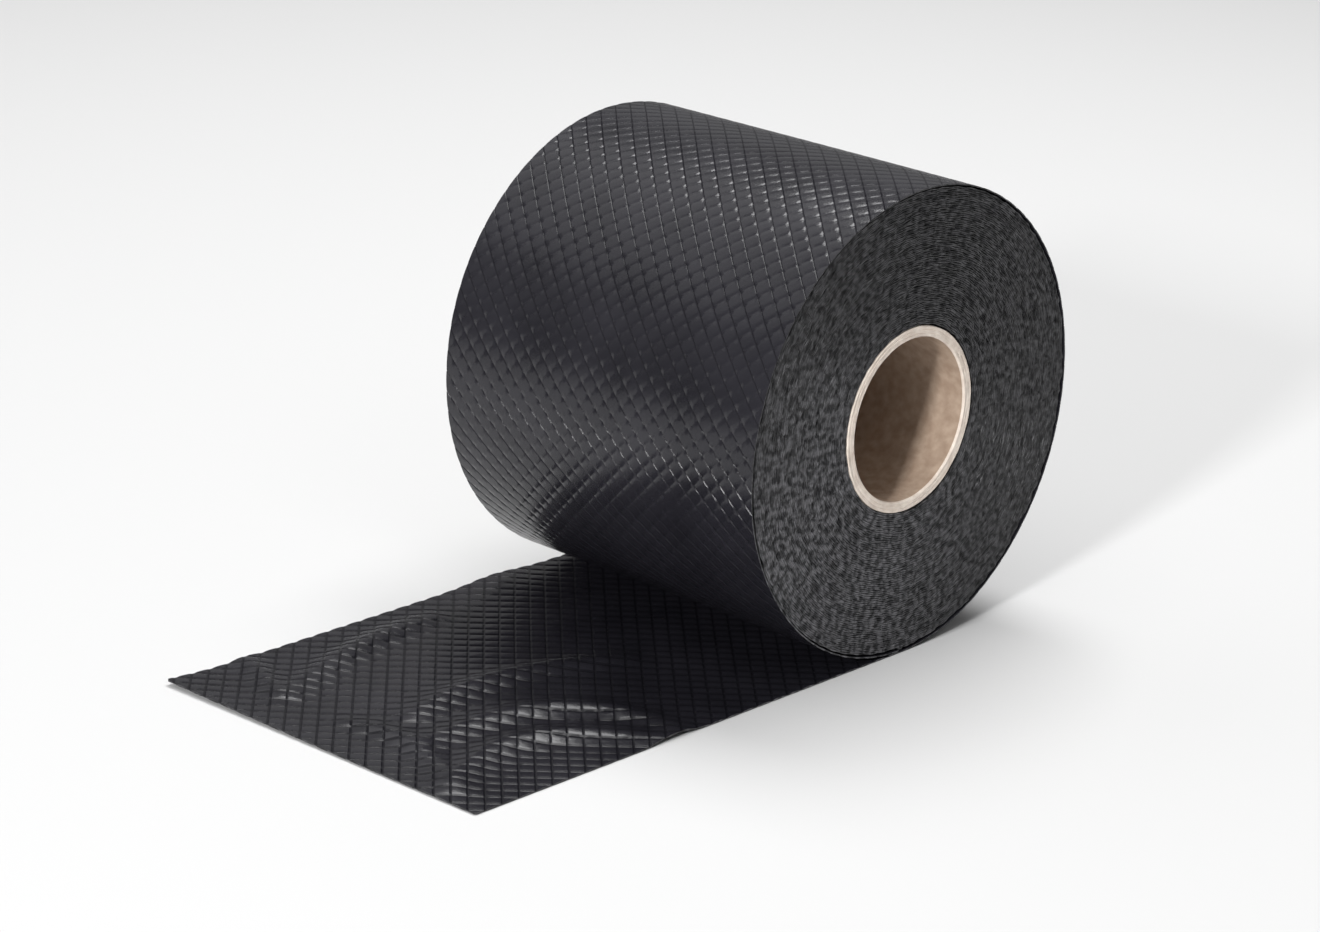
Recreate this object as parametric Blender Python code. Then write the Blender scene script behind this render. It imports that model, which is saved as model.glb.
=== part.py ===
"""A roll of embossed plastic damp proof course on a cardboard core, lying on its side.

Metres, +Z up. The roll's axis is X. The origin is on the floor, straight under the roll's axis, halfway
along its width. The sheet's loose end runs out over the floor towards -Y. It is rippled, and its cut end
curls up.
"""

import math

import bmesh
import bpy

# Driving dimensions
SHEET_WIDTH = 0.150
ROLL_DIAMETER = 0.176
SHEET_THICKNESS = 0.0007  # over the embossing, which is also what one turn adds to the radius
CORE_DIAMETER = 0.069
CORE_WALL = 0.004
CORE_CLEARANCE = 0.0003  # between the tube and the first turn
CORE_SHIFT_Y = -0.0025  # the outer turns hang loosest low at the back, so the core is off centre
CORE_SHIFT_Z = 0.0020
LOOSE_END_REACH = 0.218  # from under the roll's axis to the cut end, halfway along the cut
CUT_SLANT = 0.0035  # how much further the cut reaches at the back edge than at the front edge
CURL_START = 0.185  # the curl of the cut end starts this far out
CURL_RISE_FRONT = 0.0002
CURL_RISE_BACK = 0.0015
EDGE_LIFT = 0.0014  # where the back edge of the sheet stands off the floor
EDGE_LIFT_PLACE = 0.060
EDGE_LIFT_HALF_LENGTH = 0.016
EDGE_LIFT_HALF_WIDTH = 0.020
FLAT_START = 0.012  # the sheet lies flat this far out from under the roll, then comes free over the next stretch
FREE_STRETCH = 0.030

# Ripples of the loose end: three points along each in plan, its height and its half width
RIPPLES = (
    ((0.074, -0.116), (0.015, -0.112), (0.022, -0.186), 0.0026, 0.0055),
    ((0.076, -0.124), (0.020, -0.154), (0.058, -0.206), 0.0026, 0.0052),
    ((0.014, -0.082), (-0.011, -0.134), (0.002, -0.172), 0.0023, 0.0050),
    ((-0.060, -0.106), (-0.061, -0.144), (-0.040, -0.194), 0.0019, 0.0048),
    ((-0.008, -0.195), (0.014, -0.184), (0.050, -0.206), 0.0014, 0.0044),
    ((-0.076, -0.184), (-0.058, -0.189), (-0.040, -0.200), 0.0014, 0.0042),
)

# The turns that show on both ends: a spiral groove stands for several turns of the thin sheet
SHOWN_TURNS = 12
GROOVE_WIDTH = 0.0016
GROOVE_DEPTH = 0.0006
GROOVE_RUN_OUT = 0.25  # turns over which the groove's two ends fade
RIM_BAND = 0.004  # plain band outside the groove
BORE_BAND = 0.003  # plain band inside it

# Facets
ROUND_SEGMENTS = 64
CURVE_SEGMENTS = 24  # along each ripple
LOOSE_END_COLUMNS = 25
PLAIN_ROWS = 5
PLAIN_START = 0.016  # from under the roll's axis to the first row
RIPPLED_ROWS = 22
RIPPLED_START = 0.085
SHARP_ANGLE = math.radians(25)

ROLL_RADIUS = ROLL_DIAMETER / 2
SOLID_RADIUS = ROLL_RADIUS - SHEET_THICKNESS  # where the outermost turn lies on the one below
BORE_RADIUS = CORE_DIAMETER / 2 + CORE_CLEARANCE
SEGMENT = 2 * math.pi / ROUND_SEGMENTS
GROOVE_RADIUS = ROLL_RADIUS - RIM_BAND
GROOVE_PITCH = (GROOVE_RADIUS - GROOVE_WIDTH - BORE_BAND - BORE_RADIUS) / SHOWN_TURNS

BLACK_PLASTIC = (0.045, 0.045, 0.052, 1.0)
CARDBOARD = (0.60, 0.48, 0.35, 1.0)


def clear_scene():
    for item in list(bpy.data.objects):
        bpy.data.objects.remove(item, do_unlink=True)


def make_material(name, colour, roughness):
    material = bpy.data.materials.new(name)
    material.use_nodes = True
    shader = material.node_tree.nodes["Principled BSDF"]
    shader.inputs["Base Color"].default_value = colour
    shader.inputs["Roughness"].default_value = roughness
    shader.inputs["Metallic"].default_value = 0.0
    material.diffuse_color = colour
    return material


def round_point(x, radius, step):
    """A corner of a round outline, whose flats lie at the radius. Steps count round from the floor,
    first towards +Y, and the flat between steps 0 and 1 is level. The centre drifts from the roll's
    axis, at the outermost turn, to the core's axis."""
    inward = max(0.0, (SOLID_RADIUS - radius) / (SOLID_RADIUS - BORE_RADIUS))
    corner = radius / math.cos(SEGMENT / 2)
    angle = (step - 0.5) * SEGMENT
    y = CORE_SHIFT_Y * inward + corner * math.sin(angle)
    z = ROLL_RADIUS + CORE_SHIFT_Z * inward - corner * math.cos(angle)
    return (x, y, z)


def outline_radius(step):
    """The outermost turn climbs onto the one below: over a full turn it drops by one thickness."""
    wound = max(0, step - 1) / (ROUND_SEGMENTS - 1)
    return ROLL_RADIUS - SHEET_THICKNESS * wound


def groove_depth(step):
    turns = step / ROUND_SEGMENTS
    fade = min(turns, SHOWN_TURNS - turns) / GROOVE_RUN_OUT
    return GROOVE_DEPTH * min(1.0, fade)


def ripple_height(x, y, start, middle, end, rise, half_width):
    """Height of one ripple, which follows a curve in plan and fades towards the curve's ends."""
    nearest = math.inf
    place = 0.0
    for index in range(CURVE_SEGMENTS + 1):
        share = index / CURVE_SEGMENTS
        weights = ((1 - share) ** 2, 2 * share * (1 - share), share ** 2)
        along_x = sum(weight * point[0] for weight, point in zip(weights, (start, middle, end)))
        along_y = sum(weight * point[1] for weight, point in zip(weights, (start, middle, end)))
        away = math.hypot(x - along_x, y - along_y)
        if away < nearest:
            nearest = away
            place = share
    fade = math.sin(math.pi * (0.15 + 0.70 * place))
    return rise * math.exp(-(nearest / half_width) ** 2) * fade


def loose_end_height(x, y):
    """How far the underside of the loose end stands off the floor."""
    half = SHEET_WIDTH / 2
    height = sum(ripple_height(x, y, *ripple) for ripple in RIPPLES)
    across = (x + half) / EDGE_LIFT_HALF_WIDTH
    along = (y + EDGE_LIFT_PLACE) / EDGE_LIFT_HALF_LENGTH
    height += EDGE_LIFT * math.exp(-across ** 2 - along ** 2)
    curl = min(1.0, max(0.0, (-y - CURL_START) / (LOOSE_END_REACH - CURL_START)))
    back = (half - x) / SHEET_WIDTH
    height += curl ** 2 * (CURL_RISE_FRONT + (CURL_RISE_BACK - CURL_RISE_FRONT) * back ** 2)
    free = min(1.0, max(0.0, (-y - FLAT_START) / FREE_STRETCH))
    return height * free


def loose_end_column(x):
    """The underside and the top of the loose end at one place across it, from the first row to the cut."""
    plain_step = (RIPPLED_START - PLAIN_START) / PLAIN_ROWS
    rippled_step = (LOOSE_END_REACH - RIPPLED_START) / RIPPLED_ROWS
    distances = [PLAIN_START + plain_step * row for row in range(PLAIN_ROWS)]
    distances += [RIPPLED_START + rippled_step * row for row in range(RIPPLED_ROWS + 1)]
    slant = 1 - CUT_SLANT * x / SHEET_WIDTH / LOOSE_END_REACH
    underside = []
    top = []
    for distance in distances:
        y = -distance * slant
        z = loose_end_height(x, y)
        underside.append((x, y, z))
        top.append((x, y, z + SHEET_THICKNESS))
    return underside, top


class SheetEnd:
    """The vertices and faces of one end of the wound sheet, at x = side * SHEET_WIDTH / 2."""

    def __init__(self, vertices, side):
        self.vertices = vertices
        self.faces = []
        x = side * SHEET_WIDTH / 2
        groove_steps = range(SHOWN_TURNS * ROUND_SEGMENTS + 1)
        self.outline = [self.add(round_point(x, outline_radius(step), step))
                        for step in range(ROUND_SEGMENTS + 1)]
        self.bore = [self.add(round_point(x, BORE_RADIUS, step)) for step in range(ROUND_SEGMENTS)]
        self.bore.append(self.bore[0])
        self.outer_lip = []
        self.valley = []
        self.inner_lip = []
        for step in groove_steps:
            radius = GROOVE_RADIUS - GROOVE_PITCH * step / ROUND_SEGMENTS
            sunk_x = x - side * groove_depth(step)
            self.outer_lip.append(self.add(round_point(x, radius, step)))
            self.valley.append(self.add(round_point(sunk_x, radius - GROOVE_WIDTH / 2, step)))
            self.inner_lip.append(self.add(round_point(x, radius - GROOVE_WIDTH, step)))
        underside, top = loose_end_column(x)
        self.underside = [self.outline[0]] + [self.add(point) for point in underside]
        self.top = [self.outline[-1]] + [self.add(point) for point in top]
        self.fill()

    def add(self, point):
        self.vertices.append(point)
        return len(self.vertices) - 1

    def strip(self, outer, inner):
        for index in range(len(outer) - 1):
            self.faces.append((outer[index], outer[index + 1], inner[index + 1], inner[index]))

    def fan(self, tip, chain):
        for first, second in zip(chain, chain[1:]):
            self.faces.append((tip, first, second))

    def fill(self):
        turn = ROUND_SEGMENTS
        last = (SHOWN_TURNS - 1) * turn
        # The groove, and the land between its turns
        self.strip(self.outer_lip, self.valley)
        self.strip(self.valley, self.inner_lip)
        self.strip(self.inner_lip[:last + 1], self.outer_lip[turn:])
        # The band outside the groove, which meets the groove's start where the loose end leaves
        self.fan(self.outer_lip[1], [self.outer_lip[0], self.outline[-1], self.outline[0], self.outline[1]])
        self.strip(self.outline[1:turn], self.outer_lip[1:turn])
        self.fan(self.outer_lip[turn - 1],
                 [self.outline[turn - 1], self.outline[turn], self.outer_lip[0], self.valley[0],
                  self.inner_lip[0], self.outer_lip[turn]])
        # The band inside it, which meets the groove's end
        self.fan(self.inner_lip[last + 1],
                 [self.inner_lip[last], self.outer_lip[-1], self.valley[-1], self.inner_lip[-1],
                  self.bore[0], self.bore[1]])
        self.strip(self.inner_lip[last + 1:], self.bore[1:])
        # The edge of the loose end
        self.strip(self.underside, self.top)


def bridge(faces, first, second):
    """Faces along two chains of vertices, one at each end."""
    for index in range(len(first) - 1):
        faces.append((first[index], first[index + 1], second[index + 1], second[index]))


def add_points(vertices, points):
    first = len(vertices)
    vertices.extend(points)
    return list(range(first, len(vertices)))


def widen(faces, back_corner, front_corner, row):
    """Triangles from one edge across the sheet to a row of many vertices."""
    half = len(row) // 2
    for index in range(half):
        faces.append((back_corner, row[index], row[index + 1]))
    faces.append((back_corner, row[half], front_corner))
    for index in range(half, len(row) - 1):
        faces.append((front_corner, row[index], row[index + 1]))


def fill_between(faces, first, second):
    """Triangles between two neighbouring columns."""
    for index in range(len(first) - 1):
        faces.append((first[index], first[index + 1], second[index + 1]))
        faces.append((first[index], second[index + 1], second[index]))


def make_object(name, vertices, faces, material):
    mesh = bpy.data.meshes.new(name)
    mesh.from_pydata(vertices, [], faces)
    work = bmesh.new()
    work.from_mesh(mesh)
    bmesh.ops.recalc_face_normals(work, faces=work.faces)
    work.to_mesh(mesh)
    work.free()
    mesh.shade_smooth()
    mesh.set_sharp_from_angle(angle=SHARP_ANGLE)
    mesh.materials.append(material)
    item = bpy.data.objects.new(name, mesh)
    bpy.context.scene.collection.objects.link(item)
    return item


def make_sheet(material):
    """The wound sheet and its loose end, one solid with the bore through it."""
    vertices = []
    back = SheetEnd(vertices, -1)
    front = SheetEnd(vertices, 1)
    faces = back.faces + front.faces
    bridge(faces, back.outline, front.outline)
    bridge(faces, back.bore, front.bore)
    undersides = [back.underside[1:]]
    tops = [back.top[1:]]
    for column in range(1, LOOSE_END_COLUMNS):
        underside, top = loose_end_column(SHEET_WIDTH * (column / LOOSE_END_COLUMNS - 0.5))
        undersides.append(add_points(vertices, underside))
        tops.append(add_points(vertices, top))
    undersides.append(front.underside[1:])
    tops.append(front.top[1:])
    widen(faces, back.underside[0], front.underside[0], [chain[0] for chain in undersides])
    widen(faces, back.top[0], front.top[0], [chain[0] for chain in tops])
    for column in range(LOOSE_END_COLUMNS):
        fill_between(faces, undersides[column], undersides[column + 1])
        fill_between(faces, tops[column], tops[column + 1])
    bridge(faces, [chain[-1] for chain in undersides], [chain[-1] for chain in tops])
    return make_object("dpc_sheet", vertices, faces, material)


def make_core(material):
    """The cardboard tube that the sheet is wound on, cut flush with it."""
    outside = CORE_DIAMETER / 2
    inside = outside - CORE_WALL
    half = SHEET_WIDTH / 2
    rings = [(-half, outside), (half, outside), (half, inside), (-half, inside)]
    vertices = []
    faces = []
    for x, radius in rings:
        corner = radius / math.cos(SEGMENT / 2)
        for step in range(ROUND_SEGMENTS):
            angle = (step - 0.5) * SEGMENT
            y = CORE_SHIFT_Y + corner * math.sin(angle)
            z = ROLL_RADIUS + CORE_SHIFT_Z - corner * math.cos(angle)
            vertices.append((x, y, z))
    for ring in range(len(rings)):
        first = ring * ROUND_SEGMENTS
        second = (ring + 1) % len(rings) * ROUND_SEGMENTS
        for step in range(ROUND_SEGMENTS):
            after = (step + 1) % ROUND_SEGMENTS
            faces.append((first + step, first + after, second + after, second + step))
    return make_object("core_tube", vertices, faces, material)


def main():
    clear_scene()
    make_sheet(make_material("black_plastic", BLACK_PLASTIC, 0.55))
    make_core(make_material("cardboard", CARDBOARD, 0.85))


main()
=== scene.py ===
"""The looks of a roll of embossed plastic damp proof course on its cardboard core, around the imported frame.

Metres, +Z up. The roll's axis is X, and the loose end of the sheet runs out over the floor towards -Y.
"""

import math
from collections import namedtuple

import bmesh
import bpy
import numpy as np
from mathutils import Matrix, Vector


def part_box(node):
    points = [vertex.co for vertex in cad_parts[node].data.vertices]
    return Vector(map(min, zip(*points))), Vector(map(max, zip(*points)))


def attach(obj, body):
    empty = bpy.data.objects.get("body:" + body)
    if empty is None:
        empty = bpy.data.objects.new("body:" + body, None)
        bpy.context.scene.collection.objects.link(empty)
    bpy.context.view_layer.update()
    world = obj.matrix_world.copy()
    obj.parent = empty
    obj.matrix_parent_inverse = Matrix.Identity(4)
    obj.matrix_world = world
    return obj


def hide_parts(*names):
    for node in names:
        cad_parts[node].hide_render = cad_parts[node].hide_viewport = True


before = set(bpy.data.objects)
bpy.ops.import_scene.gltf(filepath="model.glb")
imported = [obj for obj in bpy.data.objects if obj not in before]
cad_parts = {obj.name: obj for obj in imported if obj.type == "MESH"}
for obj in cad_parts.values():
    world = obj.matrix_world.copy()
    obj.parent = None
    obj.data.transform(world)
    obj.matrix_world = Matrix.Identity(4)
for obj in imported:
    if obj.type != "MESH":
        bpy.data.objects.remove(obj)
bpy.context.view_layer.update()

# Sizes that the frame gives
sheet_low, sheet_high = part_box("dpc_sheet")
core_low, core_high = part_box("core_tube")
HALF_WIDTH = sheet_high[0]
SHEET_REACH = -sheet_low[1]
CORE_CENTRE_Y = (core_low[1] + core_high[1]) / 2
CORE_CENTRE_Z = (core_low[2] + core_high[2]) / 2
CORE_RADIUS = (core_high[2] - core_low[2]) / 2

# The sheet and its winding
ROLL_RADIUS = 0.088
TURN_PITCH = 0.0007
SHEET_THICKNESS = 0.0005
CORE_WALL = 0.004
CORE_CLEARANCE = 0.0003
BORE_RADIUS = CORE_RADIUS + CORE_CLEARANCE
ONCE_ROUND = math.tau * ROLL_RADIUS
CUT_SLANT = 0.0035  # how much further the cut reaches at the back edge than at the front edge
LOOSE_END_REACH = SHEET_REACH - CUT_SLANT / 2

# The embossing: square pillows at 45 degrees to the sheet's edges, between two families of grooves. On the
# roll the pillows are flatter and the grooves narrower, and those of the second family, the cross ones, which
# show there as the steep lines, are deeper
Embossing = namedtuple("Embossing", "half_width depth cross_half_width cross_depth crown")
ROLL_EMBOSSING = Embossing(half_width=0.0004, depth=0.00011, cross_half_width=0.0003, cross_depth=0.00024,
                           crown=0.00006)
LOOSE_EMBOSSING = Embossing(half_width=0.0005, depth=0.00016, cross_half_width=0.0009, cross_depth=0.00016,
                            crown=0.00018)
CELL = 0.00562
DIAGONAL = CELL * math.sqrt(2)
PILLOW_LINES = (0.35, 0.65)  # grid lines across a pillow, as shares of the cell
# Faces this deep get the grooves' darker material, which is painted shade
GROOVE_SHARE = 0.97  # faces that reach this share of the greatest depth have the groove's material
UNDERSIDE_SHARE = 0.4  # how much of the embossing shows on the loose end's underside

# Points nearer than this lie on the same line, or at the same place
ON_LINE = 1e-5
SAME_PLACE = 1e-6
TINY = 1e-9  # keeps a division off zero

# Edges sharper than this many degrees aren't shaded smooth
SHARP_ANGLE = 35
SHARP_PILLOW_ANGLE = 12


def lattice_lines(low, high, half_width):
    """Grid lines across the pillows: one in each groove, one on each of its shoulders, and some between."""
    shoulder = half_width / CELL
    inside = np.array([0.0, shoulder, *PILLOW_LINES, 1.0 - shoulder])
    cells = np.arange(math.floor(low / CELL), math.ceil(high / CELL) + 1)
    return (cells[:, None] + inside[None, :]).ravel() * CELL


def depth_at(x, run, embossing):
    """How far a place on the sheet lies below the pillows' highest points."""
    u = (run + x) / math.sqrt(2) / CELL % 1.0
    v = (run - x) / math.sqrt(2) / CELL % 1.0
    along = np.minimum(u, 1 - u) * CELL / embossing.half_width
    across = np.minimum(v, 1 - v) * CELL / embossing.cross_half_width
    sunk = np.maximum(embossing.depth * (1 - along), embossing.cross_depth * (1 - across))
    # The dome is 1 in the pillow's middle and 0 along its sides
    dome = 16 * u * (1 - u) * v * (1 - v)
    return np.clip(sunk, 0.0, None) + embossing.crown * (1 - dome)


def lattice(start, end, embossing):
    """The points and square faces of the grooves' grid that cover a strip of the flat sheet."""
    low = (start - HALF_WIDTH) / math.sqrt(2)
    high = (end + HALF_WIDTH) / math.sqrt(2)
    along = lattice_lines(low, high, embossing.half_width)
    across = lattice_lines(low, high, embossing.cross_half_width)
    u, v = np.meshgrid(along, across, indexing="ij")
    x = (u - v) / math.sqrt(2)
    run = (u + v) / math.sqrt(2)
    inside = (np.abs(x) < HALF_WIDTH) & (run > start) & (run < end)
    kept = inside[:-1, :-1] | inside[1:, :-1] | inside[:-1, 1:] | inside[1:, 1:]
    number = np.arange(u.size).reshape(u.shape)
    corners = (number[:-1, :-1], number[1:, :-1], number[1:, 1:], number[:-1, 1:])
    squares = np.stack(corners, axis=-1)[kept]
    used, compact = np.unique(squares, return_inverse=True)
    points = np.stack([x.ravel()[used], run.ravel()[used], np.zeros(len(used))], axis=1)
    return points.tolist(), compact.reshape(-1, 4).tolist()


def embossed_patch(start, end, embossing):
    """A flat strip of the sheet between two distances from its cut end. Its edges follow the grooves.
    Gives the points as (x, run), the faces, and the border's edges."""
    points, squares = lattice(start, end, embossing)
    mesh = bpy.data.meshes.new("patch")
    mesh.from_pydata(points, [], squares)
    patch = bmesh.new()
    patch.from_mesh(mesh)
    bpy.data.meshes.remove(mesh)
    sides = (
        ((HALF_WIDTH, 0, 0), (1, 0, 0)),
        ((-HALF_WIDTH, 0, 0), (-1, 0, 0)),
        ((0, end, 0), (0, 1, 0)),
        ((0, start, 0), (0, -1, 0)),
    )
    for place, outward in sides:
        bmesh.ops.bisect_plane(patch, geom=patch.verts[:] + patch.edges[:] + patch.faces[:], dist=SAME_PLACE,
                               plane_co=place, plane_no=outward, clear_outer=True)
    patch.verts.index_update()
    flat = np.array([vertex.co[:2] for vertex in patch.verts])
    faces = [[vertex.index for vertex in face.verts] for face in patch.faces]
    border = [[vertex.index for vertex in edge.verts] for edge in patch.edges if edge.is_boundary]
    patch.free()
    return flat, faces, border


def part_grooves(faces, depth):
    """The faces on the pillows and the faces in the deepest grooves."""
    tops = []
    grooves = []
    for face in faces:
        if depth[face].max() > GROOVE_SHARE * depth.max():
            grooves.append(face)
        else:
            tops.append(face)
    return tops, grooves


def build_piece(name, points, face_groups, materials, sharp=SHARP_ANGLE):
    """A piece from points and one list of faces for each material."""
    faces = [list(face) for group in face_groups for face in group]
    mesh = bpy.data.meshes.new(name)
    mesh.from_pydata(np.asarray(points).tolist(), [], faces)
    kinds = np.concatenate([np.full(len(group), index) for index, group in enumerate(face_groups)])
    mesh.polygons.foreach_set("material_index", kinds.astype(np.int32))
    work = bmesh.new()
    work.from_mesh(mesh)
    bmesh.ops.recalc_face_normals(work, faces=work.faces)
    work.to_mesh(mesh)
    work.free()
    for material in materials:
        mesh.materials.append(material)
    mesh.shade_smooth()
    mesh.set_sharp_from_angle(angle=math.radians(sharp))
    piece = bpy.data.objects.new(name, mesh)
    bpy.context.scene.collection.objects.link(piece)
    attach(piece, "root")
    return piece


def stitch(first, second, first_along, second_along):
    """Triangles between two chains of points that run side by side, each with its distance along."""
    faces = []
    i = 0
    j = 0
    while i < len(first) - 1 or j < len(second) - 1:
        at_end = j == len(second) - 1
        if at_end or (i < len(first) - 1 and first_along[i + 1] <= second_along[j + 1]):
            faces.append((first[i], second[j], first[i + 1]))
            i += 1
        else:
            faces.append((first[i], second[j], second[j + 1]))
            j += 1
    return faces


def ease(part):
    """A share from 0 to 1 that leaves and arrives smoothly."""
    return part * part * (3 - 2 * part)


def value_noise(rng, distance, spacing):
    """Random values from -1 to 1 at even spacings along a distance, joined smoothly."""
    knots = rng.uniform(-1.0, 1.0, int(distance.max() / spacing) + 3)
    place = distance / spacing
    whole = np.floor(place).astype(int)
    part = ease(place - whole)
    return knots[whole] * (1 - part) + knots[whole + 1] * part


NOISE_MARGIN = 0.01  # how far the plane of noise goes past the roll


def plane_noise(rng, across, up, spacing):
    """Random values from -1 to 1 over the roll's end, on a square grid and joined smoothly."""
    extent = 2 * ROLL_RADIUS + 2 * NOISE_MARGIN
    size = int(extent / spacing) + 3
    knots = rng.uniform(-1.0, 1.0, (size, size))
    place = [(across + extent / 2) / spacing, (up + NOISE_MARGIN) / spacing]
    column, row = [np.floor(value).astype(int) for value in place]
    right = ease(place[0] - column)
    above = ease(place[1] - row)
    low = knots[column, row] * (1 - right) + knots[column + 1, row] * right
    high = knots[column, row + 1] * (1 - right) + knots[column + 1, row + 1] * right
    return low * (1 - above) + high * above


# Ridges where the loose end has lifted off the floor: three points along each in plan, its height and half
# width. Each is steeper on the side that faces this way in plan
STEEP_SIDE = (0.669, -0.743)
RIDGES = (
    ((0.074, -0.116), (0.015, -0.112), (0.022, -0.186), 0.0027, 0.0058),
    ((0.076, -0.124), (0.020, -0.154), (0.056, -0.208), 0.0027, 0.0056),
    ((0.014, -0.082), (-0.011, -0.134), (0.002, -0.174), 0.0027, 0.0054),
    ((-0.060, -0.106), (-0.061, -0.144), (-0.040, -0.194), 0.0023, 0.0049),
    ((-0.008, -0.195), (0.014, -0.184), (0.050, -0.206), 0.0019, 0.0045),
    ((-0.076, -0.184), (-0.058, -0.189), (-0.040, -0.200), 0.0016, 0.0046),
)
RIDGE_STEPS = 160  # places along a ridge
GENTLE_WIDENING = 0.15  # the gentle side is wider by twice this share
RIDGE_FADE = 0.15  # a ridge's height follows half a wave, less this share at each end

# The stretch of the back edge that has lifted
BACK_LIFT_PLACE = (-0.075, -0.060)
BACK_LIFT_SPREAD = (0.02, 0.016)
BACK_LIFT_HEIGHT = 0.0014

# The curl of the cut end, from this far out, and how much more its far corner has curled
CURL_START = 0.185
CURL_HEIGHT = 0.0002
CURL_FAR_HEIGHT = 0.0013

# How far out from under the roll's axis the loose end lies flat, and in what length the ripples come in
FLAT_REACH = 0.012
FLAT_FADE = 0.03


def ridge_height(x, y, start, middle, end, rise, half_width):
    """Height of one ridge, which follows a curve in plan and fades towards the curve's ends."""
    share = np.linspace(0, 1, RIDGE_STEPS + 1)[:, None]
    points = (1 - share) ** 2 * start + 2 * share * (1 - share) * middle + share ** 2 * end
    nearest = np.full(x.shape, np.inf)
    place = np.zeros(x.shape)
    steep = np.zeros(x.shape)
    for part, point in zip(share[:, 0], points):
        away = np.hypot(x - point[0], y - point[1])
        closer = away < nearest
        nearest = np.where(closer, away, nearest)
        place = np.where(closer, part, place)
        facing = (x - point[0]) * STEEP_SIDE[0] + (y - point[1]) * STEEP_SIDE[1]
        steep = np.where(closer, facing / np.maximum(away, TINY), steep)
    spread = half_width * (1 + GENTLE_WIDENING * (1 - steep))
    fade = np.sin(math.pi * (RIDGE_FADE + (1 - 2 * RIDGE_FADE) * place))
    return rise * np.exp(-(nearest / spread) ** 2) * fade


def loose_end_height(x, y):
    """How far the loose end's underside stands off the floor: ripples, and its curled cut end."""
    height = np.zeros_like(x)
    for start, middle, end, rise, half_width in RIDGES:
        height += ridge_height(x, y, np.array(start), np.array(middle), np.array(end), rise, half_width)
    from_lift_x = (x - BACK_LIFT_PLACE[0]) / BACK_LIFT_SPREAD[0]
    from_lift_y = (y - BACK_LIFT_PLACE[1]) / BACK_LIFT_SPREAD[1]
    height += BACK_LIFT_HEIGHT * np.exp(-from_lift_x ** 2 - from_lift_y ** 2)
    curl = np.clip((-y - CURL_START) / (LOOSE_END_REACH - CURL_START), 0, 1) ** 2
    far = np.clip((HALF_WIDTH - x) / (2 * HALF_WIDTH), 0, 1)
    height += curl * (CURL_HEIGHT + CURL_FAR_HEIGHT * far ** 2)
    return height * np.clip((-y - FLAT_REACH) / FLAT_FADE, 0, 1)


def make_loose_end(materials):
    """The loose end, a thin closed sheet embossed on both faces."""
    flat, faces, border = embossed_patch(0.0, LOOSE_END_REACH, LOOSE_EMBOSSING)
    x = flat[:, 0]
    # The cut reaches a little further at the back edge
    slant = 1 - CUT_SLANT * x / (2 * HALF_WIDTH) / LOOSE_END_REACH
    y = (flat[:, 1] - LOOSE_END_REACH) * slant
    depth = depth_at(x, flat[:, 1], LOOSE_EMBOSSING)
    lift = loose_end_height(x, y)
    top = np.stack([x, y, lift + TURN_PITCH - depth], axis=1)
    underside = np.stack([x, y, lift + UNDERSIDE_SHARE * depth], axis=1)
    count = len(flat)
    lower_faces = [[index + count for index in face] for face in faces]
    rim = [(a, b, b + count, a + count) for a, b in border]
    tops, grooves = part_grooves(faces, depth)
    piece = build_piece("loose_end", np.concatenate([top, underside]), [tops + lower_faces, grooves, rim],
                        materials, SHARP_PILLOW_ANGLE)
    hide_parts("dpc_sheet")
    return piece


def on_turn(x, radius, angle):
    """Points of the winding. Angles run from the floor, first towards +Y, and the centre drifts from the
    roll's axis, outside, to the core's axis at the bore."""
    solid = ROLL_RADIUS - TURN_PITCH
    inward = np.clip((solid - radius) / (solid - BORE_RADIUS), 0, 1)
    centre_y = CORE_CENTRE_Y * inward
    centre_z = ROLL_RADIUS + (CORE_CENTRE_Z - ROLL_RADIUS) * inward
    return np.stack([x, centre_y + radius * np.sin(angle), centre_z - radius * np.cos(angle)], axis=-1)


# How far the outermost turn is from round: waves, each with its height, how many go round the roll, how much
# it turns along the width in radians a metre, and its start in radians
SLACK_WAVES = ((0.00012, 3, 9, 0.0), (0.00008, 7, -23, 1.0))
SLACK_INSET = 0.0002
SLACK_FADE = 0.5  # radians from each end of the turn in which the waves come in

# Where the outermost turn stands off at the front end, above the floor on the loose end's side
STAND_OFF = 0.0006
STAND_OFF_ANGLE = 4.95
STAND_OFF_ANGLE_SPREAD = 0.25
STAND_OFF_WIDTH = 0.02

INSIDE_STEPS = 200  # points along each edge of the outermost turn's plain inside


def outer_turn_radius(x, angle):
    """Outside of the outermost turn, which isn't quite round."""
    settle = np.clip(angle / SLACK_FADE, 0, 1) * np.clip((math.tau - angle) / SLACK_FADE, 0, 1)
    waves = [height * np.sin(count * angle + twist * x + start)
             for height, count, twist, start in SLACK_WAVES]
    wave = sum(waves) - SLACK_INSET
    from_angle = (angle - STAND_OFF_ANGLE) / STAND_OFF_ANGLE_SPREAD
    from_front = (x - HALF_WIDTH) / STAND_OFF_WIDTH
    wave += STAND_OFF * np.exp(-from_angle ** 2 - from_front ** 2)
    return ROLL_RADIUS - TURN_PITCH * angle / math.tau + wave * settle


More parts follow.
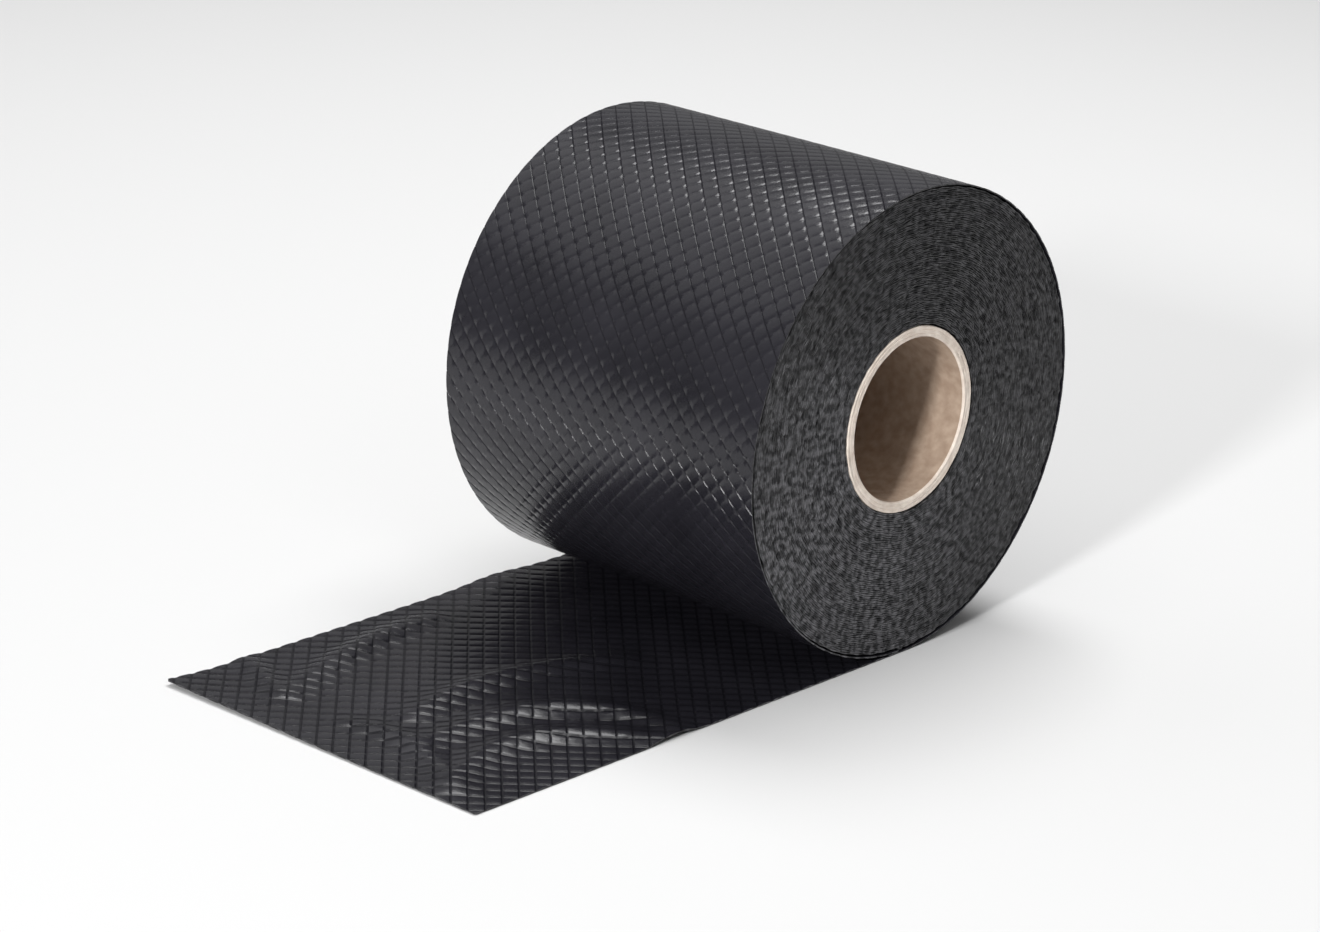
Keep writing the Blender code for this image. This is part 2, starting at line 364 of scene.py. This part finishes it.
def make_outer_turn(materials):
    """The outermost turn, from where the loose end leaves the floor once round the roll."""
    end = LOOSE_END_REACH + ONCE_ROUND
    flat, faces, _ = embossed_patch(LOOSE_END_REACH, end, ROLL_EMBOSSING)
    x = flat[:, 0]
    run = flat[:, 1]
    angle = (run - LOOSE_END_REACH) / ROLL_RADIUS
    depth = depth_at(x, run, ROLL_EMBOSSING)
    outside = on_turn(x, outer_turn_radius(x, angle) - depth, angle)
    # The inside is plain, because the next turn hides it
    inner_run = np.linspace(LOOSE_END_REACH, end, INSIDE_STEPS)
    inner_angle = (inner_run - LOOSE_END_REACH) / ROLL_RADIUS
    sides = (-HALF_WIDTH, HALF_WIDTH)
    inside = []
    rim = []
    chains = []
    for number, side in enumerate(sides):
        first = len(flat) + number * INSIDE_STEPS
        chain = np.arange(first, first + INSIDE_STEPS)
        chains.append(chain)
        place = np.full(INSIDE_STEPS, side)
        inside.append(on_turn(place, outer_turn_radius(place, inner_angle) - SHEET_THICKNESS, inner_angle))
        edge = np.flatnonzero(np.abs(x - side) < ON_LINE)
        edge = edge[np.argsort(run[edge])]
        rim += stitch(edge.tolist(), chain.tolist(), run[edge], inner_run)
    for index, place in ((0, LOOSE_END_REACH), (-1, end)):
        edge = np.flatnonzero(np.abs(run - place) < ON_LINE)
        edge = edge[np.argsort(x[edge])]
        corners = [int(chain[index]) for chain in chains]
        rim += stitch(edge.tolist(), corners, x[edge], sides)
    left, right = (chain.tolist() for chain in chains)
    back = [(left[k], left[k + 1], right[k + 1], right[k]) for k in range(INSIDE_STEPS - 1)]
    tops, grooves = part_grooves(faces, depth)
    piece = build_piece("outer_turn", np.concatenate([outside, *inside]), [tops + back, grooves, rim],
                        materials)
    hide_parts("dpc_sheet")
    return piece


# The wound turns that show on the ends
TURN_STEPS = 400  # points round each turn
FIRST_TURN_INSET = 0.0009  # from the outermost turn's end to the middle of the next turn
EDGE_THICKNESS = 0.00042
LEAST_GAP = 0.00003
GAP_DEPTH = 0.0006
END_INSET = 0.0003  # from the sheet's edge line to the turns' mean face

# Their unevenness. A pair of numbers is a height and the spacing of its random values
EMBOSSED_WAVE = 0.00012
NESTING = ((0.00010, 0.0032), (0.00008, 0.011))
LEANING = ((0.00010, 0.0024), (0.00008, 0.09))
PATCH_LEANING = (0.00050, 0.0019)
LEAN_LIMITS = (-0.0005, 0.00028)
TWISTING = (0.00012, 0.0024)

# Near the core the turns lie even, and a little deeper
CALM_REACH = 0.003
CALM_INSET = 0.0003


def uneven_edges(rng, middle, angle, pitch):
    """How the turns' edges stray outwards, where their faces lie along the axis, and how those twist."""
    along = np.cumsum(middle) * math.tau / TURN_STEPS
    # The embossing makes each edge wavy, and no two turns nest alike
    wave = EMBOSSED_WAVE * np.sin(math.tau * along / DIAGONAL)
    for height, spacing in NESTING:
        wave += height * value_noise(rng, along, spacing)
    spot = on_turn(np.zeros(len(middle)), middle, angle)
    lean = np.zeros(len(middle))
    for height, spacing in LEANING:
        lean += height * value_noise(rng, along, spacing)
    patch_height, patch_spacing = PATCH_LEANING
    lean += patch_height * plane_noise(rng, spot[:, 1], spot[:, 2], patch_spacing)
    for first in range(TURN_STEPS, len(middle) - 1, TURN_STEPS):
        now = slice(first, first + TURN_STEPS)
        before = slice(first - TURN_STEPS, first)
        wave[now] = np.minimum(wave[now], wave[before] + pitch - EDGE_THICKNESS - LEAST_GAP)
    stray = np.clip((middle - BORE_RADIUS) / CALM_REACH, 0, 1)
    face = HALF_WIDTH - END_INSET + np.clip(lean, *LEAN_LIMITS) * stray - CALM_INSET * (1 - stray)
    twist_height, twist_spacing = TWISTING
    twist = twist_height * value_noise(rng, along, twist_spacing)
    return wave, face, twist


def winding_faces(first, steps):
    """Faces of the wound turns: their edges, the gaps between them, and the plain surfaces that close them.
    Takes the first point of the outer edge, inner edge, gap, skirt and bore."""
    outer, inner, valley, skirt, bore = first
    edge = np.arange(steps + TURN_STEPS)
    gap = np.arange(steps)
    next_turn = gap + TURN_STEPS
    ring = np.arange(TURN_STEPS)
    after = (ring + 1) % TURN_STEPS
    last = steps + ring
    quads = (
        (outer + edge, outer + edge + 1, inner + edge + 1, inner + edge),
        (inner + gap, inner + gap + 1, valley + gap + 1, valley + gap),
        (valley + gap, valley + gap + 1, outer + next_turn + 1, outer + next_turn),
        (outer + ring, outer + ring + 1, skirt + after, skirt + ring),
        (inner + last, inner + last + 1, bore + after, bore + ring),
        (skirt + ring, skirt + after, bore + after, bore + ring),
    )
    faces = np.concatenate([np.stack(corners, axis=1) for corners in quads]).tolist()
    end = steps + TURN_STEPS
    faces.append([outer + TURN_STEPS, valley, inner, outer, skirt])
    faces.append([inner + steps, valley + steps, outer + end, inner + end, bore])
    return faces


def make_winding(name, side, seed, material):
    """Half of the wound roll under its outermost turn, with the edge of every turn modelled on its end."""
    rng = np.random.default_rng(seed)
    start = ROLL_RADIUS - TURN_PITCH - FIRST_TURN_INSET
    turns = int((start - BORE_RADIUS) / TURN_PITCH)
    pitch = (start - EDGE_THICKNESS / 2 - BORE_RADIUS) / (turns + 1)
    steps = turns * TURN_STEPS
    turn = np.arange(steps + TURN_STEPS + 1) / TURN_STEPS
    angle = math.tau * (turn % 1.0)
    middle = start - pitch * turn
    wave, face, twist = uneven_edges(rng, middle, angle, pitch)
    outer = on_turn(side * (face + twist), middle + EDGE_THICKNESS / 2 + wave, angle)
    inner = on_turn(side * (face - twist), middle - EDGE_THICKNESS / 2 + wave, angle)
    low = slice(0, steps + 1)
    next_outer = middle[TURN_STEPS:] + EDGE_THICKNESS / 2 + wave[TURN_STEPS:]
    gap = (middle[low] - EDGE_THICKNESS / 2 + wave[low] + next_outer) / 2
    valley = on_turn(side * (face[low] - GAP_DEPTH), gap, angle[low])
    round_angle = math.tau * np.arange(TURN_STEPS) / TURN_STEPS
    middle_plane = np.zeros(TURN_STEPS)
    skirt = on_turn(middle_plane, np.full(TURN_STEPS, start - pitch), round_angle)
    bore = on_turn(middle_plane, np.full(TURN_STEPS, BORE_RADIUS + pitch), round_angle)
    parts = [outer, inner, valley, skirt, bore]
    first = np.cumsum([0] + [len(part) for part in parts])[:-1]
    piece = build_piece(name, np.concatenate(parts), [winding_faces(first, steps)], [material])
    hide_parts("dpc_sheet")
    return piece


# The cardboard tube
CORE_STEPS = 320  # points round it
BORE_ROWS = 40
BORE_MARGIN = 0.0012  # from the bore's last circle to the sheet's edge line
CORNER_MARGIN = 0.0015  # and from the outside's last circle
CORE_INSET = 0.0002  # from the sheet's edge line to the tube's cut
# Circles on the cut: place across the wall as a share from the bore, and depth. Two joints between plies show
CUT_CIRCLES = (
    (0.02, 0.00045), (0.10, 0.0001), (0.30, 0.00006), (0.34, 0.0002), (0.38, 0.00006),
    (0.62, 0.00008), (0.66, 0.00022), (0.70, 0.00008), (0.92, 0.0001), (0.99, 0.00045),
)
CUT_ROUGHNESS = 0.00007
RADIAL_SHARE = 0.4  # how much of the roughness also goes outwards
CUT_FLAWS = ((1.0, 0.006), (0.5, 0.0014))  # shares of the roughness, each with its random values' spacing
SEAM_FADE = 0.3  # radians before a circle's end in which its flaws fade
CORE_SEED = 31


def circle_flaws(rng, angle):
    """Random flaws along one circle of the tube."""
    flaws = np.zeros(len(angle))
    for share, spacing in CUT_FLAWS:
        flaws += share * value_noise(rng, angle * CORE_RADIUS, spacing)
    return flaws * np.clip((math.tau - angle) / SEAM_FADE, 0, 1)


def core_circle(x, radius, angle, roughness, flaws):
    """Points of one circle round the core's axis."""
    place = np.full(len(angle), x) + roughness * flaws
    size = radius + RADIAL_SHARE * roughness * flaws
    y = CORE_CENTRE_Y + size * np.sin(angle)
    z = CORE_CENTRE_Z - size * np.cos(angle)
    return np.stack([place, y, z], axis=1)


def make_core(materials):
    """The cardboard tube, whose cut ends show its plies and are slightly uneven."""
    rng = np.random.default_rng(CORE_SEED)
    angle = math.tau * np.arange(CORE_STEPS) / CORE_STEPS
    # The first flaws go to the smooth circles, whose roughness is zero. Each circle on a cut has its own
    smooth, *rough = [circle_flaws(rng, angle) for _ in range(1 + 2 * len(CUT_CIRCLES))]
    front = rough[:len(CUT_CIRCLES)]
    back = rough[len(CUT_CIRCLES):]
    cut_circles = [(CORE_RADIUS - CORE_WALL * (1 - share), sunk) for share, sunk in CUT_CIRCLES]
    rings = []
    for row in range(BORE_ROWS + 1):
        x = -HALF_WIDTH + BORE_MARGIN + (2 * HALF_WIDTH - 2 * BORE_MARGIN) * row / BORE_ROWS
        rings.append(core_circle(x, CORE_RADIUS - CORE_WALL, angle, 0.0, smooth))
    for (radius, sunk), flaws in zip(cut_circles, front):
        rings.append(core_circle(HALF_WIDTH - CORE_INSET - sunk, radius, angle, CUT_ROUGHNESS, flaws))
    for x in (HALF_WIDTH - CORNER_MARGIN, -HALF_WIDTH + CORNER_MARGIN):
        rings.append(core_circle(x, CORE_RADIUS, angle, 0.0, smooth))
    for (radius, sunk), flaws in zip(reversed(cut_circles), back):
        rings.append(core_circle(-HALF_WIDTH + CORE_INSET + sunk, radius, angle, CUT_ROUGHNESS, flaws))
    walls = []
    cut = []
    outside_row = BORE_ROWS + len(CUT_CIRCLES) + 1
    step = np.arange(CORE_STEPS)
    after = (step + 1) % CORE_STEPS
    for row in range(len(rings)):
        a = row * CORE_STEPS
        b = (row + 1) % len(rings) * CORE_STEPS
        ring_faces = np.stack([a + step, a + after, b + after, b + step], axis=1).tolist()
        if row < BORE_ROWS or row == outside_row:
            walls += ring_faces
        else:
            cut += ring_faces
    piece = build_piece("cardboard_core", np.concatenate(rings), [walls, cut], materials)
    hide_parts("core_tube")
    return piece


# Colours, darkest and lightest. The sheet's are multiplied by a material's shade; the grooves' materials have
# a lower shade, which is painted shade in the grooves
SHEET_DARK = (0.0115, 0.0110, 0.0145)
SHEET_LIGHT = (0.0190, 0.0182, 0.0235)
SLIT_DARK = (0.008, 0.008, 0.009)
SLIT_LIGHT = (0.076, 0.075, 0.080)
KRAFT_DARK = (0.33, 0.235, 0.17)
KRAFT_LIGHT = (0.46, 0.35, 0.265)
CUT_DARK = (0.66, 0.56, 0.48)
CUT_LIGHT = (0.86, 0.77, 0.68)
FLOOR_COLOUR = (0.67, 0.67, 0.67)

# How rough the sheet's faces are, between the clouds of dust and in them
LEAST_ROUGHNESS = 0.20
MOST_ROUGHNESS = 0.30

# Painted light on the slit edges: where they are painted lightest, how far that reaches, and the tone there
# and away from it, where it is painted shade
PAINTED_LIGHT_CENTRE = (0.075, -0.048, 0.034)
PAINTED_LIGHT_FROM = 0.02
PAINTED_LIGHT_TO = 0.11
PAINTED_LIGHT_TONE = 1.8
PAINTED_SHADE_TONE = 0.72


def new_material(name):
    """A plain material, its node tree and its shader."""
    material = bpy.data.materials.new(name)
    material.use_nodes = True
    tree = material.node_tree
    return material, tree, tree.nodes["Principled BSDF"]


def add_place(tree):
    """Coordinates in the object's own space."""
    return tree.nodes.new("ShaderNodeTexCoord").outputs["Object"]


def add_noise(tree, place, scale, detail):
    """The values of a noise texture."""
    noise = tree.nodes.new("ShaderNodeTexNoise")
    noise.inputs["Scale"].default_value = scale
    noise.inputs["Detail"].default_value = detail
    tree.links.new(place, noise.inputs["Vector"])
    return noise.outputs["Fac"]


def add_ramp(tree, values, dark_at, dark, light_at, light):
    """A colour that goes from dark to light with the values."""
    ramp = tree.nodes.new("ShaderNodeValToRGB")
    for element, position, colour in zip(ramp.color_ramp.elements, (dark_at, light_at), (dark, light)):
        element.position = position
        element.color = (*colour, 1)
    tree.links.new(values, ramp.inputs["Fac"])
    return ramp.outputs["Color"]


def add_bump(tree, shader, heights, strength, distance):
    """Fine unevenness of the shading."""
    bump = tree.nodes.new("ShaderNodeBump")
    bump.inputs["Strength"].default_value = strength
    bump.inputs["Distance"].default_value = distance
    tree.links.new(heights, bump.inputs["Height"])
    tree.links.new(bump.outputs["Normal"], shader.inputs["Normal"])


def sheet_material(name, shade, sheen):
    """Black polyethylene with a soft sheen, faint clouds of dust, and a fine grain."""
    material, tree, shader = new_material(name)
    place = add_place(tree)
    dark = [shade * part for part in SHEET_DARK]
    light = [shade * part for part in SHEET_LIGHT]
    clouds = add_noise(tree, place, scale=38.0, detail=5.0)
    tint = add_ramp(tree, clouds, 0.3, dark, 0.75, light)
    tree.links.new(tint, shader.inputs["Base Color"])
    roughness = tree.nodes.new("ShaderNodeMapRange")
    roughness.inputs["To Min"].default_value = LEAST_ROUGHNESS
    roughness.inputs["To Max"].default_value = MOST_ROUGHNESS
    tree.links.new(clouds, roughness.inputs["Value"])
    tree.links.new(roughness.outputs["Result"], shader.inputs["Roughness"])
    grain = add_noise(tree, place, scale=1500.0, detail=3.0)
    add_bump(tree, shader, grain, strength=0.25, distance=0.0002)
    shader.inputs["Specular IOR Level"].default_value = sheen
    return material


def slit_edge_material():
    """The slit edges of the sheet, paler and rougher than its faces."""
    material, tree, shader = new_material("slit_edge")
    place = add_place(tree)
    # Random specks: partly the slit edges' own tone, partly painted shade in their crinkles and gaps
    specks = add_noise(tree, place, scale=400.0, detail=2.0)
    tint = add_ramp(tree, specks, 0.40, SLIT_DARK, 0.62, SLIT_LIGHT)
    # Painted light, lightest low on the side that the loose end leaves from, and painted shade away from
    # there
    away = tree.nodes.new("ShaderNodeVectorMath")
    away.operation = "DISTANCE"
    away.inputs[1].default_value = PAINTED_LIGHT_CENTRE
    tree.links.new(place, away.inputs[0])
    painted_light = tree.nodes.new("ShaderNodeMapRange")
    painted_light.interpolation_type = "SMOOTHSTEP"
    painted_light.inputs["From Min"].default_value = PAINTED_LIGHT_FROM
    painted_light.inputs["From Max"].default_value = PAINTED_LIGHT_TO
    painted_light.inputs["To Min"].default_value = PAINTED_LIGHT_TONE
    painted_light.inputs["To Max"].default_value = PAINTED_SHADE_TONE
    tree.links.new(away.outputs["Value"], painted_light.inputs["Value"])
    tone = tree.nodes.new("ShaderNodeVectorMath")
    tone.operation = "SCALE"
    tree.links.new(tint, tone.inputs[0])
    tree.links.new(painted_light.outputs["Result"], tone.inputs["Scale"])
    tree.links.new(tone.outputs["Vector"], shader.inputs["Base Color"])
    shader.inputs["Roughness"].default_value = 0.55
    return material


def cardboard_material(name, dark, light):
    """Kraft paper, with its fibres."""
    material, tree, shader = new_material(name)
    place = add_place(tree)
    fibres = add_noise(tree, place, scale=260.0, detail=6.0)
    tint = add_ramp(tree, fibres, 0.3, dark, 0.7, light)
    tree.links.new(tint, shader.inputs["Base Color"])
    shader.inputs["Roughness"].default_value = 0.85
    add_bump(tree, shader, fibres, strength=0.3, distance=0.0004)
    return material


FLOOR_REACH = 6
FLOOR_DROP = 0.0001  # keeps the floor just clear of the sheet's underside


def make_floor():
    """The pale floor."""
    material, _, shader = new_material("pale_floor")
    shader.inputs["Base Color"].default_value = (*FLOOR_COLOUR, 1)
    shader.inputs["Roughness"].default_value = 0.7
    corners = [(x * FLOOR_REACH, y * FLOOR_REACH, 0) for x, y in ((-1, -1), (1, -1), (1, 1), (-1, 1))]
    mesh = bpy.data.meshes.new("floor")
    mesh.from_pydata(corners, [], [(0, 1, 2, 3)])
    mesh.materials.append(material)
    floor = bpy.data.objects.new("floor", mesh)
    floor.location = (0, 0, -FLOOR_DROP)
    bpy.context.scene.collection.objects.link(floor)


# The camera: the photograph's view of the roll
CAMERA_AZIMUTH = math.radians(42.03)
CAMERA_ELEVATION = math.radians(19.03)
CAMERA_ROLL = math.radians(2.71)
CAMERA_DISTANCE = 1.431
CAMERA_NEAREST = 0.05
AIM_RIGHT = -0.0345
AIM_UP = -0.0356
FRAME_WIDTH = 1320
FOCAL_PIXELS = 3877
SENSOR_WIDTH = 36.0


def direction(azimuth, elevation):
    """The unit vector from the object towards a camera or light. Azimuth 0 is -Y and 90 is +X."""
    return Vector((math.sin(azimuth) * math.cos(elevation), -math.cos(azimuth) * math.cos(elevation),
                   math.sin(elevation)))


def make_camera():
    """The camera, turned a little about its own axis."""
    back = direction(CAMERA_AZIMUTH, CAMERA_ELEVATION)
    right = Vector((math.cos(CAMERA_AZIMUTH), math.sin(CAMERA_AZIMUTH), 0))
    up = back.cross(right)
    aim = Vector((0, 0, ROLL_RADIUS)) + right * AIM_RIGHT + up * AIM_UP
    turned_right = right * math.cos(CAMERA_ROLL) + up * math.sin(CAMERA_ROLL)
    turned_up = up * math.cos(CAMERA_ROLL) - right * math.sin(CAMERA_ROLL)
    data = bpy.data.cameras.new("camera")
    data.sensor_width = SENSOR_WIDTH
    data.lens = SENSOR_WIDTH * FOCAL_PIXELS / FRAME_WIDTH
    data.clip_start = CAMERA_NEAREST
    camera = bpy.data.objects.new("camera", data)
    rotation = Matrix((turned_right, turned_up, back)).transposed().to_4x4()
    camera.matrix_world = Matrix.Translation(aim + back * CAMERA_DISTANCE) @ rotation
    bpy.context.scene.collection.objects.link(camera)
    bpy.context.scene.camera = camera


# Soft lights, all aimed at one place: name, azimuth and elevation in degrees, distance, size, and watts
LIGHTS_AIM = (0, -0.04, 0.06)
LIGHTS = (
    ("key", 17, 22, 2.4, (0.26, 0.26), 47),
    ("overhead", -80, 48, 1.8, (2.0, 0.8), 4.1),
    ("left", -46, 24, 2.0, (0.8, 0.8), 0.5),
    ("fill", 68, 42, 2.2, (0.8, 0.8), 3),
    ("high", 22, 66, 2.6, (2.0, 2.0), 12),
    ("glint", -160, 67, 2.0, (1.4, 1.0), 38),
    ("back", -138, 18, 2.4, (1.8, 0.9), 1.1),
)
WORLD_STRENGTH = 0.12


def make_light(name, azimuth, elevation, distance, size, power):
    """One rectangular light that faces the object."""
    data = bpy.data.lights.new(name, "AREA")
    data.shape = "RECTANGLE"
    data.size, data.size_y = size
    data.energy = power
    light = bpy.data.objects.new(name, data)
    towards = direction(math.radians(azimuth), math.radians(elevation))
    light.location = Vector(LIGHTS_AIM) + towards * distance
    light.rotation_euler = towards.to_track_quat("Z", "Y").to_euler()
    bpy.context.scene.collection.objects.link(light)


def make_world():
    """A faint even white light from all round."""
    world = bpy.data.worlds.new("studio")
    world.use_nodes = True
    shade = world.node_tree.nodes["Background"]
    shade.inputs["Color"].default_value = (1, 1, 1, 1)
    shade.inputs["Strength"].default_value = WORLD_STRENGTH
    bpy.context.scene.world = world


def main():
    """The roll and its loose end, then what the photograph's view needs."""
    plastic = sheet_material("black_polyethylene", shade=1.0, sheen=0.4)
    # The grooves' materials are the sheet's made darker and less glossy: their darker colour is painted shade
    # in the grooves
    groove = sheet_material("painted_shade_roll_grooves", shade=0.8, sheen=0.13)
    loose_end_groove_shade = sheet_material("painted_shade_loose_end_grooves", shade=0.6, sheen=0.16)
    slit = slit_edge_material()
    make_loose_end([plastic, loose_end_groove_shade, slit])
    make_outer_turn([plastic, groove, slit])
    make_winding("wound_turns_front", side=1, seed=5, material=slit)
    make_winding("wound_turns_back", side=-1, seed=17, material=slit)
    wall = cardboard_material("kraft_wall", KRAFT_DARK, KRAFT_LIGHT)
    cut = cardboard_material("cut_cardboard", CUT_DARK, CUT_LIGHT)
    make_core([wall, cut])
    make_floor()
    make_camera()
    for light in LIGHTS:
        make_light(*light)
    make_world()
    bpy.context.scene.view_settings.view_transform = "Standard"


main()
